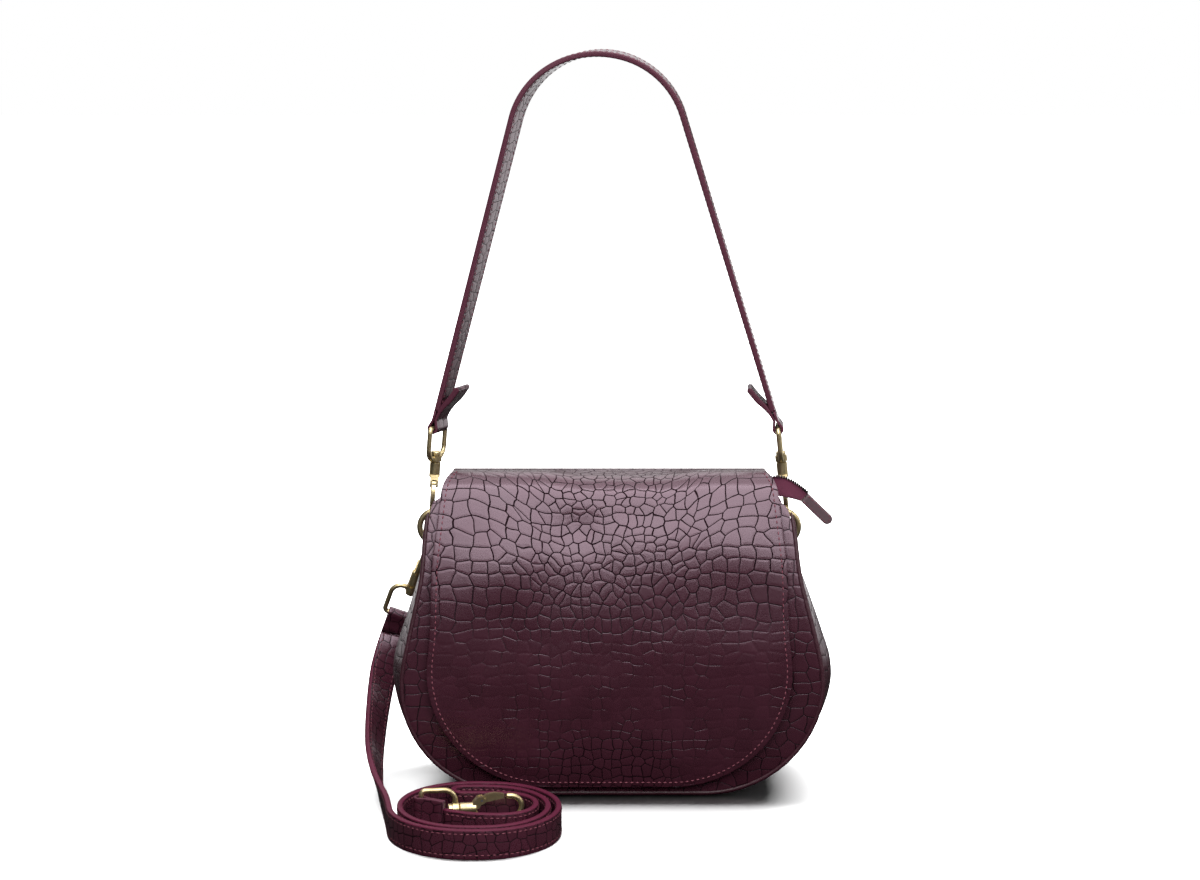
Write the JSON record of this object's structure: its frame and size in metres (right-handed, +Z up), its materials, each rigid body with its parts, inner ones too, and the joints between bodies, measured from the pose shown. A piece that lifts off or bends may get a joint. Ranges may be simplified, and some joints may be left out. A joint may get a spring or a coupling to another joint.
{
  "type": "saddle handbag",
  "caption": "Saddle handbag with rounded front flap over a zipped top, arched shoulder strap on swivel snap hooks and a coiled crossbody strap clipped to a side ring.",
  "frame": {"origin": "on the floor under the middle of the bag's base", "axes": "+X to the right of the bag as seen from the flap side, +Y to its back, +Z up"},
  "size_m": [0.3047, 0.2169, 0.4686],
  "materials": {
    "croc_leather": "semi-gloss embossed",
    "lining_fabric": "matt woven",
    "stiffener": "matt",
    "zip_tape": "matt woven",
    "zip_metal": "dark satin",
    "antique_brass": "antique satin",
    "spring_steel": "satin"
  },
  "bodies": {
    "bag": {"front_panel": "croc_leather", "back_panel": "croc_leather", "gusset": "croc_leather", "front_piping": "croc_leather", "back_piping": "croc_leather", "lining": "lining_fabric", "base_board": "stiffener", "slip_pocket": "lining_fabric", "magnet_socket": "spring_steel", "flap_back_strip": "croc_leather", "left_ring_tab": "croc_leather", "right_ring_tab": "croc_leather", "zip_end_stop": "zip_metal", "zip_tail_tape": "zip_tape", "zip_tail_teeth": "zip_metal", "zip_tail_tab": "croc_leather", "crossbody_riser": "croc_leather", "crossbody_coil": "croc_leather", "crossbody_upper_end": "croc_leather", "crossbody_free_end": "croc_leather", "upper_eye": "antique_brass", "free_eye": "antique_brass"},
    "flap": {"flap": "croc_leather", "flap_lining": "lining_fabric", "magnet_stud": "spring_steel"},
    "zip_front": {"zip_facing_front": "croc_leather", "zip_tape_front": "zip_tape", "zip_teeth_front": "zip_metal"},
    "zip_back": {"zip_facing_back": "croc_leather", "zip_tape_back": "zip_tape", "zip_teeth_back": "zip_metal"},
    "zip_slider": {"zip_slider": "zip_metal"},
    "zip_pull": {"zip_pull": "zip_metal"},
    "left_ring": {"left_ring": "antique_brass"},
    "right_ring": {"right_ring": "antique_brass"},
    "handle": {"shoulder_strap": "croc_leather", "left_strap_end": "croc_leather", "right_strap_end": "croc_leather", "left_eye": "antique_brass", "right_eye": "antique_brass"},
    "left_hook": {"left_hook": "antique_brass", "left_gate_pin": "spring_steel", "left_gate_spring": "spring_steel"},
    "left_gate": {"left_gate": "antique_brass"},
    "right_hook": {"right_hook": "antique_brass", "right_gate_pin": "spring_steel", "right_gate_spring": "spring_steel"},
    "right_gate": {"right_gate": "antique_brass"},
    "upper_hook": {"upper_hook": "antique_brass", "upper_gate_pin": "spring_steel", "upper_gate_spring": "spring_steel"},
    "upper_gate": {"upper_gate": "antique_brass"},
    "free_hook": {"free_hook": "antique_brass", "free_gate_pin": "spring_steel", "free_gate_spring": "spring_steel"},
    "free_gate": {"free_gate": "antique_brass"}
  },
  "joints": [
    {"name": "flap_hinge", "type": "hinge", "parent": "bag", "child": "flap", "pos_m": [0, 0.02605, 0.19], "axis": [-1, 0, 0], "range_deg": [0, 80]},
    {"name": "zip_slide", "type": "slide", "parent": "bag", "child": "zip_slider", "axis": [1, 0, 0], "range_m": [0, 0.155]},
    {"name": "zip_front_fold", "type": "hinge", "parent": "bag", "child": "zip_front", "pos_m": [0, -0.0192, 0.1886], "axis": [-1, 0, 0], "range_deg": [0, 70]},
    {"name": "zip_back_fold", "type": "hinge", "parent": "bag", "child": "zip_back", "pos_m": [0, 0.0192, 0.1886], "axis": [1, 0, 0], "range_deg": [0, 70]},
    {"name": "zip_pull_swing", "type": "hinge", "parent": "zip_slider", "child": "zip_pull", "pos_m": [-0.0885, 0, 0.1922], "axis": [0, -1, 0], "range_deg": [0, 15]},
    {"name": "left_ring_turn", "type": "hinge", "parent": "bag", "child": "left_ring", "pos_m": [-0.1105, 0.0465, 0.1575], "axis": [0, 0, 1], "range_deg": [-6, 6]},
    {"name": "right_ring_turn", "type": "hinge", "parent": "bag", "child": "right_ring", "pos_m": [0.1105, 0.0465, 0.1575], "axis": [0, 0, 1], "range_deg": [-6, 6]},
    {"name": "handle_swing", "type": "hinge", "parent": "bag", "child": "handle", "pos_m": [0, 0.0465, 0.16968], "axis": [-1, 0, 0], "range_deg": [0, 90]},
    {"name": "left_hook_swivel", "type": "hinge", "parent": "handle", "child": "left_hook", "pos_m": [-0.11637, 0.0465, 0.16968], "axis": [0.0815, 0, 0.9967], "range_deg": [-6, 4]},
    {"name": "left_gate_hinge", "type": "hinge", "parent": "left_hook", "child": "left_gate", "pos_m": [-0.11456, 0.04151, 0.18759], "axis": [0.9943, 0.0695, -0.0813], "range_deg": [0, 18], "stiffness_Nm_per_rad": 0.01},
    {"name": "right_hook_swivel", "type": "hinge", "parent": "handle", "child": "right_hook", "pos_m": [0.11633, 0.0465, 0.16967], "axis": [-0.1085, 0, 0.9941], "range_deg": [-4, 6]},
    {"name": "right_gate_hinge", "type": "hinge", "parent": "right_hook", "child": "right_gate", "pos_m": [0.11403, 0.04151, 0.18753], "axis": [0.9917, -0.0693, 0.1082], "range_deg": [0, 18], "stiffness_Nm_per_rad": 0.01},
    {"name": "upper_hook_swivel", "type": "hinge", "parent": "bag", "child": "upper_hook", "pos_m": [-0.11921, 0.04672, 0.1463], "axis": [-0.3409, 0.1395, -0.9297], "range_deg": [-5, 5]},
    {"name": "upper_gate_hinge", "type": "hinge", "parent": "upper_hook", "child": "upper_gate", "pos_m": [-0.12502, 0.05418, 0.13019], "axis": [0.9378, -0.0191, -0.3467], "range_deg": [0, 18], "stiffness_Nm_per_rad": 0.01},
    {"name": "free_hook_swivel", "type": "hinge", "parent": "bag", "child": "free_hook", "pos_m": [-0.06096, -0.09818, 0.01405], "axis": [-0.9903, -0.1392, 0], "continuous": true},
    {"name": "free_gate_hinge", "type": "hinge", "parent": "free_hook", "child": "free_gate", "pos_m": [-0.07878, -0.10068, 0.01905], "axis": [-0.1392, 0.9903, 0], "range_deg": [0, 18], "stiffness_Nm_per_rad": 0.01}
  ],
  "couplings": [
    {"joint": "zip_front_fold", "follows": "zip_slide", "rad_per_m": 7.8819},
    {"joint": "zip_back_fold", "follows": "zip_slide", "rad_per_m": 7.8819}
  ]
}
